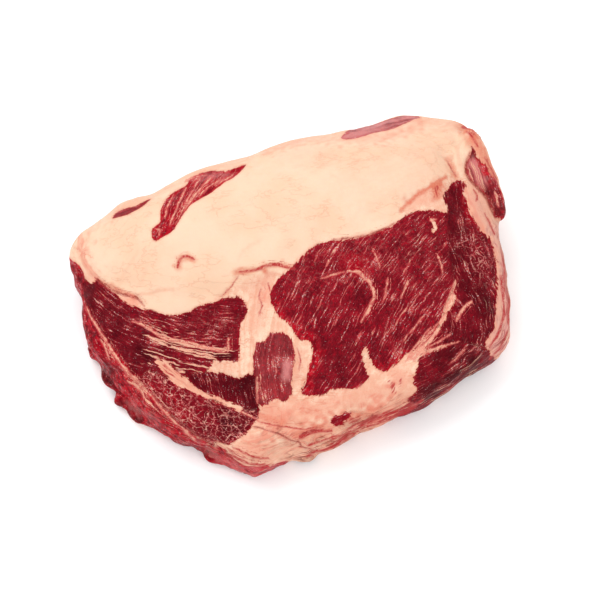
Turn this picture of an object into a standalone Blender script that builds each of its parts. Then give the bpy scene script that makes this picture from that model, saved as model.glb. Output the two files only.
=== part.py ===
"""Raw beef bolar blade roast: one solid piece of meat lying on its flat underside.

The cut face lies on top towards -Y, the thick fat cap rolls over the top and back
towards +Y. Metres, +Z up, origin under the middle of the piece.
"""

import math
from collections.abc import Sequence

import bmesh
import bpy
import numpy as np
from mathutils import Matrix, Vector, noise

MM = 0.001

# Plan outline at the widest level, anticlockwise from the right-hand side, in mm.
OUTLINE = (
    (131, -12), (129, 8), (126, 27), (123, 46), (119, 66), (116, 86), (113, 102),
    (103, 112), (86, 114), (67, 114), (47, 107), (26, 100), (7, 98), (-11, 92), (-30, 84),
    (-51, 76), (-72, 67), (-90, 58), (-108, 56), (-120, 45), (-131, 36), (-136, 24),
    (-134, 12), (-127, -2), (-124, -19), (-122, -33), (-110, -47), (-97, -61), (-86, -74),
    (-67, -85), (-52, -92), (-40, -101), (-28, -107), (-16, -105), (-6, -99), (7, -95),
    (22, -91), (40, -81), (57, -74), (77, -67), (93, -56), (112, -43), (129, -29),
)
OUTLINE_STEPS = 8  # points between two outline points

# Side profile at eight directions: E, NE, N, NW, W, SW, S, SE, in mm.
WAIST_HEIGHT = (28, 38, 42, 38, 26, 9, 12, 18)
FOOT_INSET = (9, 13, 17, 15, 8, 2.5, 5, 8)
SHOULDER_POWER = (2.8, 3.3, 3.3, 3.0, 2.8, 4.2, 3.4, 3.2)
FOOT_POWER = 2.0

# Top surface: a level base with broad swells. Each is x, y, half-length, half-width,
# turn in degrees and height, in mm.
TOP_LEVEL = 60
SWELLS = (
    (30, 48, 95, 52, 8, 24),     # ridge of the fat cap
    (-70, 30, 60, 42, 20, 13),   # its left shoulder
    (40, 5, 55, 42, 35, 6),      # main muscle
    (-75, -25, 38, 26, -25, -6),  # left muscle, cut lower
    (-40, -72, 42, 22, -28, -9),  # lower left muscle
    (98, -18, 26, 34, 20, 3),    # right muscle
    (22, -62, 60, 18, 20, -7),   # fat along the front
)

# Lower edge of the fat cap, left to right, in mm.
CAP_EDGE = (
    (-150, 16), (-128, 8), (-112, 2), (-97, -5), (-82, -14), (-66, -18), (-50, -12),
    (-33, -8), (-17, -5), (-2, 9), (14, 22), (32, 26), (52, 33), (66, 42), (84, 50),
    (92, 60), (104, 62), (118, 66), (150, 70),
)
CAP_STEP = 3.0
CAP_STEP_WIDTH = 6.0

# Grooves between muscles and along folds: path, half-width and depth, in mm.
GROOVES = (
    (((-24, -8), (-26, -30), (-27, -46)), 6.0, 1.6),
    (((-15, -10), (-2, -22), (9, -34), (9, -52)), 6.0, 1.4),
    (((96, -6), (84, -26), (68, -38), (52, -46)), 5.0, 1.8),
    (((-88, -46), (-68, -56), (-46, -66), (-24, -70)), 5.0, 1.6),
    (((-22, -80), (-8, -85), (8, -92)), 4.0, 2.4),
    (((92, 78), (97, 66), (99, 52), (101, 36)), 6.0, 5.0),
)

# Uneven surface all over, in mm.
UNEVEN_SIZE = 34.0
UNEVEN_HEIGHT = 2.6
RAGGED_SIZE = 11.0
RAGGED_HEIGHT = 1.6
RAGGED_SHIFT = Vector((7, 3, 5))
CAP_SMOOTHNESS = 0.7  # how much of the raggedness the fat cap loses

# Flap of fat and lean that hangs down the right-hand side. Each station is
# x, y, z, half-width and half-thickness, in mm.
FLAP = (
    (105, 97, 61, 3, 3), (108, 91, 60, 6, 5), (112, 82, 57, 9, 6), (115, 73, 53, 11, 6.5),
    (119, 65, 49, 11, 6.5), (122, 57, 45, 8, 6), (125, 52, 41, 5.5, 5), (126, 48, 38, 3, 3),
)
FLAP_FACING = Vector((0.93, 0.12, 0.35))
FLAP_STEPS = 3
FLAP_SIDES = 12

# Small lumps that stand out along the cut front edge: x, y, z, the three half-sizes
# and turn in degrees, in mm.
LUMPS = (
    (-112, -42, 10, 5, 12, 8, 32),
    (-121, -27, 6, 4, 7, 5, 10),
    (-103, -58, 5, 5, 4, 4, 30),
    (-93, -68, 5, 9, 5, 4, -42),
    (-47, -95, 5, 7, 4, 5, -24),
    (8, -94, 6, 7, 4, 4, 24),
)

# Mesh: squares across half the top, rings down the side, how far the shapes run on
# below the floor before they are cut level, the even mesh's grain, and the final count.
HALF_GRID = 40
SIDE_RINGS = 14
BELOW_FLOOR = 4.0
MESH_GRAIN = 2.6
TRIANGLES = 9000
CUT_MERGE = 0.01  # mm, cut points this close to the floor count as on it
FLOOR_BAND = 0.02  # mm, points up to this height are laid on the floor
LUMP_ROUNDS = 3  # how often a lump's faces are split

MEAT_COLOUR = (0.36, 0.035, 0.045, 1.0)
MEAT_ROUGHNESS = 0.42


def clear_scene() -> None:
    """Removes what the scene starts with."""
    for obj in list(bpy.data.objects):
        bpy.data.objects.remove(obj, do_unlink=True)


def smooth_path(points: Sequence, steps: int, closed: bool = False) -> np.ndarray:
    """Points along a Catmull-Rom curve through the given ones."""
    points = [np.asarray(point, float) for point in points]
    count = len(points)
    spans = count if closed else count - 1
    path = []
    for i in range(spans):
        if closed:
            a, b, c, d = (points[(i + k) % count] for k in (-1, 0, 1, 2))
        else:
            a, b, c, d = (points[min(max(i + k, 0), count - 1)] for k in (-1, 0, 1, 2))
        for step in range(steps):
            t = step / steps
            path.append(
                0.5 * (2 * b + (c - a) * t + (2 * a - 5 * b + 4 * c - d) * t**2
                       + (3 * b - a - 3 * c + d) * t**3)
            )
    if not closed:
        path.append(points[-1])
    return np.array(path)


def outline_radius(angle: np.ndarray) -> np.ndarray:
    """Distance from the middle to the outline, in mm, in a direction in radians."""
    path = smooth_path(OUTLINE, OUTLINE_STEPS, closed=True)
    around = np.arctan2(path[:, 1], path[:, 0]) % (2 * math.pi)
    order = np.argsort(around)
    return np.interp(angle, around[order], np.hypot(*path.T)[order], period=2 * math.pi)


def by_direction(angle: np.ndarray, values: Sequence[float]) -> np.ndarray:
    """A value that turns smoothly between eight directions, from E anticlockwise."""
    place = (angle % (2 * math.pi)) / (2 * math.pi) * len(values)
    first = np.floor(place).astype(int)
    ease = (1 - np.cos(math.pi * (place - first))) / 2
    values = np.asarray(values, float)
    return values[first % len(values)] * (1 - ease) + values[(first + 1) % len(values)] * ease


def path_distance(x: np.ndarray, y: np.ndarray, path: Sequence) -> np.ndarray:
    """Distance of each place from a path, in mm, positive on the path's left."""
    path = np.asarray(path, float)
    nearest = np.full(x.shape, np.inf)
    side = np.ones(x.shape)
    for (ax, ay), (bx, by) in zip(path[:-1], path[1:]):
        dx, dy = bx - ax, by - ay
        along = np.clip(((x - ax) * dx + (y - ay) * dy) / (dx * dx + dy * dy), 0, 1)
        distance = np.hypot(x - ax - along * dx, y - ay - along * dy)
        closer = distance < nearest
        nearest = np.where(closer, distance, nearest)
        side = np.where(closer, np.sign(dx * (y - ay) - dy * (x - ax)), side)
    return nearest * side


def top_height(x: np.ndarray, y: np.ndarray) -> np.ndarray:
    """Height of the top surface, in mm, before the shoulders round it off."""
    height = np.full(x.shape, float(TOP_LEVEL))
    for cx, cy, long_half, wide_half, turn, rise in SWELLS:
        c, s = math.cos(math.radians(turn)), math.sin(math.radians(turn))
        u = ((x - cx) * c + (y - cy) * s) / long_half
        v = ((y - cy) * c - (x - cx) * s) / wide_half
        height += rise * np.exp(-(u * u + v * v))
    cap = np.clip(path_distance(x, y, smooth_path(CAP_EDGE, 3)) / CAP_STEP_WIDTH, -1, 1)
    height += CAP_STEP * (cap - 1) / 2
    for path, half_width, depth in GROOVES:
        across = path_distance(x, y, path) / half_width
        height -= depth * np.exp(-across * across)
    return height


def top_point(angle: np.ndarray, share: np.ndarray) -> np.ndarray:
    """Points of the top, by direction and by share of the way out to the widest level."""
    out = np.sin(share * math.pi / 2)
    radius = outline_radius(angle) * out
    x, y = radius * np.cos(angle), radius * np.sin(angle)
    waist = by_direction(angle, WAIST_HEIGHT)
    power = by_direction(angle, SHOULDER_POWER)
    rounded = (1 - np.minimum(out, 1) ** power) ** (1 / power)
    return np.stack([x, y, waist + (top_height(x, y) - waist) * rounded], -1)


def side_ring(angle: np.ndarray, share: float) -> np.ndarray:
    """One ring of the side, from the widest level (share 0) down to the foot (share 1)."""
    waist = by_direction(angle, WAIST_HEIGHT)
    drop = math.sin(share * math.pi / 2)
    tuck = 1 - (1 - drop**FOOT_POWER) ** (1 / FOOT_POWER)
    radius = outline_radius(angle) - by_direction(angle, FOOT_INSET) * tuck
    return np.stack([radius * np.cos(angle), radius * np.sin(angle), waist * (1 - drop)], -1)


def grid_place(i: int, j: int) -> tuple[float, int]:
    """Direction and ring of a square of the top grid, counted from its middle."""
    ring = max(abs(i), abs(j))
    if ring == 0:
        return 0.0, 0
    if i == ring and j > -ring:
        step = j
    elif j == ring:
        step = 2 * ring - i
    elif i == -ring:
        step = 4 * ring - j
    else:
        step = 6 * ring + i
    return step / (8 * ring) * 2 * math.pi, ring


def body_shape() -> bmesh.types.BMesh:
    """The closed body: a grid over the top, rings down the side, and a flat end."""
    n = HALF_GRID
    cells = range(-n, n + 1)
    places = {(i, j): grid_place(i, j) for i in cells for j in cells}
    angle, ring = np.array(list(places.values())).T
    mesh = bmesh.new()
    points = top_point(angle, ring / n)
    verts = {cell: mesh.verts.new(point * MM) for cell, point in zip(places, points)}
    for i in range(-n, n):
        for j in range(-n, n):
            mesh.faces.new((verts[i, j], verts[i + 1, j], verts[i + 1, j + 1], verts[i, j + 1]))
    rim = sorted(((turn, cell) for cell, (turn, ring) in places.items() if ring == n))
    rim_angle = np.array([turn for turn, cell in rim])
    rings = [side_ring(rim_angle, k / SIDE_RINGS) for k in range(1, SIDE_RINGS + 1)]
    rings.append(rings[-1] - np.array([0, 0, BELOW_FLOOR]))
    upper = [verts[cell] for turn, cell in rim]
    for points in rings:
        lower = [mesh.verts.new(point * MM) for point in points]
        for k in range(len(rim)):
            following = (k + 1) % len(rim)
            mesh.faces.new((upper[k], lower[k], lower[following], upper[following]))
        upper = lower
    mesh.faces.new(reversed(upper))
    bmesh.ops.recalc_face_normals(mesh, faces=mesh.faces)
    return mesh


def flap_shape() -> bmesh.types.BMesh:
    """The hanging flap: a flattened tube through its stations, closed at both ends."""
    stations = smooth_path(FLAP, FLAP_STEPS)
    mesh = bmesh.new()
    rings = []
    for k, (x, y, z, wide, thick) in enumerate(stations):
        before, after = stations[max(k - 1, 0)][:3], stations[min(k + 1, len(stations) - 1)][:3]
        run = Vector(after - before).normalized()
        across = run.cross(FLAP_FACING).normalized()
        out = across.cross(run).normalized()
        ring = []
        for side in range(FLAP_SIDES):
            turn = side / FLAP_SIDES * 2 * math.pi
            offset = across * math.cos(turn) * wide + out * math.sin(turn) * thick
            ring.append(mesh.verts.new((Vector((x, y, z)) + offset) * MM))
        rings.append(ring)
    for ring, following in zip(rings[:-1], rings[1:]):
        for k in range(FLAP_SIDES):
            other = (k + 1) % FLAP_SIDES
            mesh.faces.new((ring[k], ring[other], following[other], following[k]))
    mesh.faces.new(reversed(rings[0]))
    mesh.faces.new(rings[-1])
    bmesh.ops.recalc_face_normals(mesh, faces=mesh.faces)
    return mesh


def lump_shape(
    x: float, y: float, z: float, long_half: float, wide_half: float, high_half: float, turn: float
) -> bmesh.types.BMesh:
    """A rounded lump."""
    mesh = bmesh.new()
    bmesh.ops.create_icosphere(mesh, subdivisions=LUMP_ROUNDS, radius=1.0)
    size = Matrix.Diagonal((long_half * MM, wide_half * MM, high_half * MM, 1))
    place = Matrix.Translation(Vector((x, y, z)) * MM)
    mesh.transform(place @ Matrix.Rotation(math.radians(turn), 4, "Z") @ size)
    return mesh


def new_object(
    name: str, mesh: bmesh.types.BMesh, collection: bpy.types.Collection
) -> bpy.types.Object:
    """An object that holds the mesh."""
    data = bpy.data.meshes.new(name)
    mesh.to_mesh(data)
    mesh.free()
    obj = bpy.data.objects.new(name, data)
    collection.objects.link(obj)
    return obj


def apply_modifiers(obj: bpy.types.Object) -> None:
    """Replaces the object's mesh by the one that its modifiers make."""
    graph = bpy.context.evaluated_depsgraph_get()
    obj.data = bpy.data.meshes.new_from_object(obj.evaluated_get(graph))
    obj.modifiers.clear()


def fuse(body: bpy.types.Object, collection: bpy.types.Collection) -> None:
    """Joins the collection's shapes to the body and removes them."""
    union = body.modifiers.new("union", "BOOLEAN")
    union.operation = "UNION"
    union.operand_type = "COLLECTION"
    union.collection = collection
    union.solver = "EXACT"
    apply_modifiers(body)
    for obj in list(collection.objects):
        bpy.data.objects.remove(obj, do_unlink=True)
    bpy.data.collections.remove(collection)


def even_out(obj: bpy.types.Object) -> None:
    """Gives the joined shapes one even mesh, which softens the joins."""
    remesh = obj.modifiers.new("remesh", "REMESH")
    remesh.mode = "VOXEL"
    remesh.voxel_size = MESH_GRAIN * MM
    apply_modifiers(obj)


def roughen(obj: bpy.types.Object) -> None:
    """Makes the surface uneven along its normals."""
    mesh = bmesh.new()
    mesh.from_mesh(obj.data)
    mesh.normal_update()
    points = np.array([vert.co for vert in mesh.verts]) / MM
    on_cap = np.clip(path_distance(*points.T[:2], CAP_EDGE) / CAP_STEP_WIDTH, 0, 1)
    for vert, point, cap in zip(mesh.verts, points, on_cap):
        place = Vector(point)
        swell = noise.noise(place / UNEVEN_SIZE) * UNEVEN_HEIGHT
        rag = noise.noise(place / RAGGED_SIZE + RAGGED_SHIFT) * RAGGED_HEIGHT
        vert.co += vert.normal * (swell + rag * (1 - cap * CAP_SMOOTHNESS)) * MM
    mesh.to_mesh(obj.data)
    mesh.free()


def thin_out(obj: bpy.types.Object) -> None:
    """Lowers the count of triangles, and keeps them where the surface bends."""
    obj.data.calc_loop_triangles()
    decimate = obj.modifiers.new("decimate", "DECIMATE")
    decimate.ratio = TRIANGLES / len(obj.data.loop_triangles)
    apply_modifiers(obj)


def cut_level(obj: bpy.types.Object) -> None:
    """Cuts the piece off at the floor and closes it with one flat face."""
    mesh = bmesh.new()
    mesh.from_mesh(obj.data)
    bmesh.ops.bisect_plane(
        mesh, geom=mesh.verts[:] + mesh.edges[:] + mesh.faces[:], dist=CUT_MERGE * MM,
        plane_co=(0, 0, 0), plane_no=(0, 0, 1), clear_inner=True,
    )
    for vert in mesh.verts:
        if vert.co.z < FLOOR_BAND * MM:
            vert.co.z = 0.0
    bmesh.ops.holes_fill(mesh, edges=[edge for edge in mesh.edges if edge.is_boundary])
    bmesh.ops.recalc_face_normals(mesh, faces=mesh.faces)
    mesh.to_mesh(obj.data)
    mesh.free()


def centre(obj: bpy.types.Object) -> None:
    """Puts the origin under the middle of the piece."""
    low, high = (Vector(pick(vert.co[k] for vert in obj.data.vertices) for k in range(3))
                 for pick in (min, max))
    middle = (low + high) / 2
    obj.data.transform(Matrix.Translation((-middle.x, -middle.y, 0)))


def meat_material() -> bpy.types.Material:
    """Plain raw meat."""
    material = bpy.data.materials.new("raw_meat")
    material.use_nodes = True
    shader = material.node_tree.nodes["Principled BSDF"]
    shader.inputs["Base Color"].default_value = MEAT_COLOUR
    shader.inputs["Roughness"].default_value = MEAT_ROUGHNESS
    shader.inputs["Metallic"].default_value = 0.0
    return material


def main() -> None:
    """Builds the roast."""
    clear_scene()
    roast = new_object("roast", body_shape(), bpy.context.scene.collection)
    extras = bpy.data.collections.new("extras")
    bpy.context.scene.collection.children.link(extras)
    new_object("flap", flap_shape(), extras)
    for number, lump in enumerate(LUMPS):
        new_object(f"lump_{number}", lump_shape(*lump), extras)
    fuse(roast, extras)
    even_out(roast)
    roughen(roast)
    thin_out(roast)
    cut_level(roast)
    centre(roast)
    roast.data.materials.clear()
    roast.data.materials.append(meat_material())
    roast.data.shade_smooth()


main()
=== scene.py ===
"""Looks of a raw beef bolar blade roast: marbled lean, fat cap, seams, wet cut side and loose flap.

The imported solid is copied, given a fine even mesh and fine relief, and finished by the
places that its muscles have in the photograph's frame of 600 x 600 pixels.
"""

from __future__ import annotations

import logging
import math
from dataclasses import dataclass, field
from enum import Enum
from typing import Any, Optional, Sequence, Union

import bmesh
import bpy
import numpy as np
from mathutils import Color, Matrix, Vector, noise

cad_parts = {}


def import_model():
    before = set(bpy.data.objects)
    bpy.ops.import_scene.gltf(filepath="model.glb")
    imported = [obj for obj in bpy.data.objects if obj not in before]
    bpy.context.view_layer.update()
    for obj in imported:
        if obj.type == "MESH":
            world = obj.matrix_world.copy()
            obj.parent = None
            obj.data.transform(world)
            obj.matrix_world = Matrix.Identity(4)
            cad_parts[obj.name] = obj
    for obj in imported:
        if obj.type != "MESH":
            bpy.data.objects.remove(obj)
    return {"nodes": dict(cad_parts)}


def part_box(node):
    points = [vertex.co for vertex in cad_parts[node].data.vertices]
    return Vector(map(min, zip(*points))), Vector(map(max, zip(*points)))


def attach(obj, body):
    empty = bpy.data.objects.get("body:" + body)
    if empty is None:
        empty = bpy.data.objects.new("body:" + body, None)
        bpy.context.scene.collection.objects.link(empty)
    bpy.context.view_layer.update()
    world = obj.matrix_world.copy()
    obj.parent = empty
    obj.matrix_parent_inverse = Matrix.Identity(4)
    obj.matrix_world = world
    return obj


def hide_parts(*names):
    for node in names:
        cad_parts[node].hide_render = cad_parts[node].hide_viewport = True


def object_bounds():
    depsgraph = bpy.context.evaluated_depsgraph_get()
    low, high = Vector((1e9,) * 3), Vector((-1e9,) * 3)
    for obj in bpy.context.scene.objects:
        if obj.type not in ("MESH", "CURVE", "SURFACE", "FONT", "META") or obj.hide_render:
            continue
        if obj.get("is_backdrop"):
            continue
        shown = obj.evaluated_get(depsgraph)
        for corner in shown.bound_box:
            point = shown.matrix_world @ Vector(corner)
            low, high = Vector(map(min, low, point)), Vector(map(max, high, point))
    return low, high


LOG = logging.getLogger("roast")
MM = 0.001
PIXEL_MM = 0.6
LIGHT_LEVEL = 1.36  # how much brighter a colour shows in this light than it is
Pixels = Sequence[tuple[float, float]]
SoftLine = tuple[Pixels, float, float]
Colour = tuple[float, float, float, float]


def seen(red: float, green: float, blue: float) -> Colour:
    """Turns a colour as the photograph shows it into the one that the surface has.

    Args:
        red: the picture's red, 0 to 255.
        green: its green.
        blue: its blue.

    Returns:
        The linear colour, less what the studio's light adds, with full alpha.
    """
    shown = Color((red, green, blue)) / 255
    linear = shown.from_srgb_to_scene_linear() / LIGHT_LEVEL
    return linear.r, linear.g, linear.b, 1.0


def ease(low: float, high: float, value: np.ndarray) -> np.ndarray:
    """Goes smoothly from 0 where the value is low to 1 where it is high."""
    t = np.clip((value - low) / (high - low), 0, 1)
    return t * t * (3 - 2 * t)


def rough_field(points: np.ndarray, size: Sequence[float], seed: float) -> np.ndarray:
    """Makes smooth random heights over points.

    Args:
        points: positions, one a row, of two or three numbers.
        size: the size of a bump along each axis, in the unit of the points.
        seed: a number that picks another pattern.

    Returns:
        Heights from about -1 to 1.
    """
    scaled = np.zeros((len(points), 3))
    scaled[:, : points.shape[1]] = points / np.asarray(size)
    scaled += seed
    return np.array([noise.noise(Vector(place)) for place in scaled])


# --------------------------------------------------------------- the photograph's view


@dataclass(frozen=True)
class PhotoView:
    """The camera that sees the roast as the photograph does."""

    elevation: float = 66.0
    distance: float = 1.0
    lens: float = 100.0
    sensor: float = 36.0
    image_side: float = 600.0
    target: tuple[float, float, float] = (0.0065, -0.0098, 0.035)

    @property
    def forward(self) -> np.ndarray:
        """The direction that the camera looks along."""
        tilt = math.radians(self.elevation)
        return np.array([0.0, math.cos(tilt), -math.sin(tilt)])

    @property
    def place(self) -> np.ndarray:
        """Where the camera stands."""
        return np.array(self.target) - self.distance * self.forward

    def pixels(self, points: np.ndarray) -> np.ndarray:
        """Finds where points show in the photograph's frame.

        Args:
            points: world positions, one a row.

        Returns:
            Pixel positions, one a row, counted from the top left.
        """
        right = np.array([1.0, 0.0, 0.0])
        up = np.cross(right, self.forward)
        away = points - self.place
        scale = self.lens / self.sensor * self.image_side / (away @ self.forward)
        middle = self.image_side / 2
        return np.stack([middle + scale * (away @ right), middle - scale * (away @ up)], -1)

    def facing(self, points: np.ndarray, normals: np.ndarray) -> np.ndarray:
        """Tells how far points face the camera: 1 fully, 0 edge on, below 0 turned away."""
        back = self.place - points
        return np.einsum("ij,ij->i", normals, back) / np.linalg.norm(back, axis=1)

    def add_camera(self) -> None:
        """Adds the camera and makes it the scene's own."""
        data = bpy.data.cameras.new("photo_camera")
        data.lens, data.sensor_width = self.lens, self.sensor
        camera = bpy.data.objects.new("photo_camera", data)
        camera.location = self.place.tolist()
        camera.rotation_euler = (math.radians(90 - self.elevation), 0.0, 0.0)
        bpy.context.scene.collection.objects.link(camera)
        bpy.context.scene.camera = camera


@dataclass(frozen=True)
class Path:
    """A smooth line through a few pixels of the photograph."""

    points: Pixels
    closed: bool = False
    steps: int = 4

    def smooth(self) -> np.ndarray:
        """Draws a Catmull-Rom curve through the given points.

        Returns:
            The curve's points, one a row. A closed curve ends where it starts.
        """
        knots = np.asarray(self.points, float)
        count = len(knots)
        if count < 3:
            return knots
        index = np.arange(count if self.closed else count - 1)
        picks = [index + shift for shift in (-1, 0, 1, 2)]
        picks = [p % count if self.closed else np.clip(p, 0, count - 1) for p in picks]
        a, b, c, d = (knots[p][:, None] for p in picks)
        t = (np.arange(self.steps) / self.steps)[None, :, None]
        curve = 0.5 * (
            2 * b
            + (c - a) * t
            + (2 * a - 5 * b + 4 * c - d) * t**2
            + (3 * b - a - 3 * c + d) * t**3
        )
        curve = curve.reshape(-1, 2)
        return np.concatenate([curve, curve[:1] if self.closed else knots[-1:]])

    def measure(self, places: np.ndarray) -> tuple[np.ndarray, np.ndarray]:
        """Measures places against the path.

        Args:
            places: pixel positions, one a row.

        Returns:
            The distance across, above 0 on the right as one walks along the path in the
            picture, and the length along the path to the nearest point.
        """
        line = self.smooth()
        across = np.full(len(places), np.inf)
        along = np.zeros(len(places))
        run = 0.0
        last = len(line) - 2
        for number, (start, end) in enumerate(zip(line[:-1], line[1:])):
            step = end - start
            length = float(np.hypot(*step))
            if length == 0:
                continue
            away = places - start
            share = away @ step / length**2
            near = away - np.clip(share, 0, 1)[:, None] * step
            distance = np.hypot(near[:, 0], near[:, 1])
            closer = distance < np.abs(across)
            side = np.where(step[0] * away[:, 1] - step[1] * away[:, 0] < 0, -1.0, 1.0)
            low = -np.inf if number == 0 else 0
            high = np.inf if number == last else 1
            across = np.where(closer, distance * side, across)
            along = np.where(closer, run + np.clip(share, low, high) * length, along)
            run += length
        return across, along

    def length(self) -> float:
        """How long the path is."""
        return float(np.hypot(*np.diff(self.smooth(), axis=0).T).sum())

    def within(self, places: np.ndarray, reach: float) -> np.ndarray:
        """Tells which places lie in the path's box with a margin around it.

        Args:
            places: pixel positions, one a row.
            reach: the margin in pixels.

        Returns:
            True for each place in the box.
        """
        line = self.smooth()
        low, high = line.min(0) - reach, line.max(0) + reach
        return np.all((places > low) & (places < high), axis=1)

    def depth(self, places: np.ndarray, reach: float) -> np.ndarray:
        """Measures how deep places lie inside the closed path.

        Args:
            places: pixel positions, one a row.
            reach: how far outside it is measured.

        Returns:
            The distance to the path: above 0 inside, down to minus reach outside.
        """
        depth = np.full(len(places), -reach)
        chosen = self.within(places, reach)
        x, y = places[chosen].T
        line = self.smooth()
        inside = np.zeros(len(x), bool)
        for (ax, ay), (bx, by) in zip(line[:-1], line[1:]):
            if ay != by:
                crosses = (y < ay) != (y < by)
                inside ^= crosses & (x < ax + (y - ay) / (by - ay) * (bx - ax))
        distance = np.abs(self.measure(places[chosen])[0])
        depth[chosen] = np.maximum(np.where(inside, distance, -distance), -reach)
        return depth


# ------------------------------------------------------------------------- the anatomy


class Look(Enum):
    """What a soft stroke changes. The value names the mesh's attribute."""

    BLUSH = "blush"  # pink in the fat
    BLOOD = "blood"  # red in the fat
    # Orange-brown stains and dried edges, and in one stroke a painted shadow under the cap's torn edge.
    RUST_AND_SHADOW = "rust_and_shadow"  # orange-brown stain or dried edge
    FOLD = "fold"  # fibres and folds in the fat
    # Darker lean, dried in places, and painted shade in recesses and under overhanging edges.
    DARK = "dark_and_shade"  # dried or shaded lean
    WET = "wet"  # bright wet lean
    VEIL = "veil"  # silverskin over the lean
    FILM = "film"  # silverskin over the fat
    # Fibres and folds in the fat, with painted shade along the folds.
    MARBLE = "marble"  # streaks of fat along the grain
    WEB = "web"  # a net of fat in the lean
    STRAND = "strand"  # long strands of fat along the grain


@dataclass(frozen=True)
class Muscle:
    """A patch of lean: its outline, the line that its grain follows and its looks."""

    name: str
    outline: Pixels
    grain: Pixels
    marble: float = 0.5
    web: float = 0.0
    # How much darker the lean is: dried lean, and painted shade where the muscle lies in a recess.
    dark_and_shade: float = 0.0
    wet: float = 0.0
    veil: float = 0.0
    swell: float = 0.5  # how far it stands above its edge, in mm


@dataclass(frozen=True)
class Seam:
    """A line of fat through the lean."""

    path: Pixels
    half_width: float
    fade: bool = False  # thins out towards its end


@dataclass(frozen=True)
class Thread:
    """A thin red line in the fat."""

    path: Pixels
    half_width: float = 0.8


@dataclass(frozen=True)
class Crease:
    """A thin groove, with painted shade as a darker line in it."""

    path: Pixels
    half_width: float = 1.2
    deep: float = 0.5  # mm


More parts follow.
